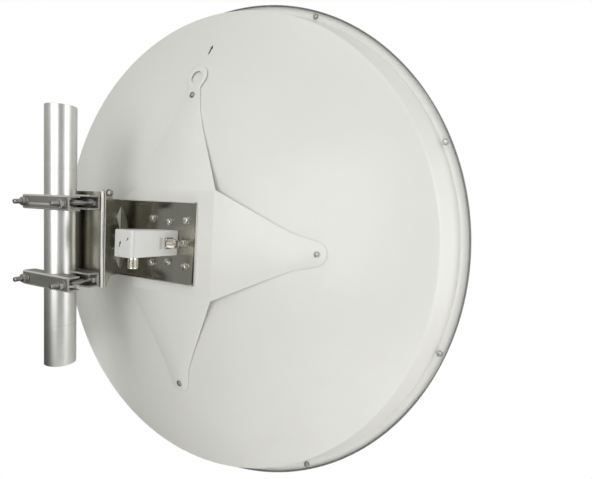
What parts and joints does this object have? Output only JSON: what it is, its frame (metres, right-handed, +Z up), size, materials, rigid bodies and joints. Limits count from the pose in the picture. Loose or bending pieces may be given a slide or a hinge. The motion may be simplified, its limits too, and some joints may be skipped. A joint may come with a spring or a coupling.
{
  "type": "parabolic dish antenna",
  "caption": "Covered parabolic dish antenna with a star-shaped stiffener, feed block and coaxial sockets, on a tilting pole clamp and mast tube.",
  "frame": {"origin": "on the flat annular lower end of the mast tube, in the middle of its wall at the side away from the dish", "axes": "+Z up along the mast, +Y the way the dish looks, tipped down by 1.65 degrees at rest, +X to the right seen from behind"},
  "size_m": [0.932, 0.3639, 0.9318],
  "materials": {
    "white_paint": "satin powder coat",
    "cover_plastic": "matt moulded sheet",
    "band_grey": "matt",
    "stainless": "brushed",
    "zinc": "zinc coated",
    "jaw_steel": "satin zinc coated",
    "nickel": "nickel plated"
  },
  "bodies": {
    "mast": {"mast_tube": "zinc"},
    "clamp": {"pole_bracket": "stainless", "inner_jaw_upper": "jaw_steel", "inner_jaw_lower": "jaw_steel", "outer_jaw_upper": "jaw_steel", "outer_jaw_lower": "jaw_steel", "clamp_bolt_upper_left": "zinc", "clamp_bolt_upper_right": "zinc", "clamp_bolt_lower_left": "zinc", "clamp_bolt_lower_right": "zinc", "pivot_bolt": "zinc", "lock_bolt": "zinc"},
    "dish": {"reflector": "white_paint", "front_cover": "cover_plastic", "edge_band": "band_grey", "stiffener_star": "white_paint", "mount_plate": "stainless", "feed_block": "white_paint", "side_socket": "nickel", "lower_socket": "nickel", "tilt_arm": "stainless", "plate_bolt_1": "zinc", "plate_bolt_2": "zinc", "plate_bolt_3": "zinc", "plate_bolt_4": "zinc", "plate_bolt_5": "zinc", "plate_bolt_6": "zinc", "plate_bolt_7": "zinc", "plate_bolt_8": "zinc", "plate_bolt_9": "zinc", "plate_bolt_10": "zinc", "rim_screw_1": "zinc", "rim_screw_2": "zinc", "rim_screw_3": "zinc", "rim_screw_4": "zinc", "rim_screw_5": "zinc", "rim_screw_6": "zinc", "rim_screw_7": "zinc", "rim_screw_8": "zinc", "star_screw_right": "zinc", "star_screw_upper": "zinc", "star_screw_left": "zinc", "star_screw_lower": "zinc"}
  },
  "joints": [
    {"name": "azimuth_turn", "type": "hinge", "parent": "mast", "child": "clamp", "pos_m": [0, 0.02255, 0.208], "axis": [0, 0, 1], "continuous": true},
    {"name": "elevation_tilt", "type": "hinge", "parent": "clamp", "child": "dish", "pos_m": [0.065, 0.06255, 0.292], "axis": [1, 0, 0], "range_deg": [-3.35, 16.65]}
  ]
}
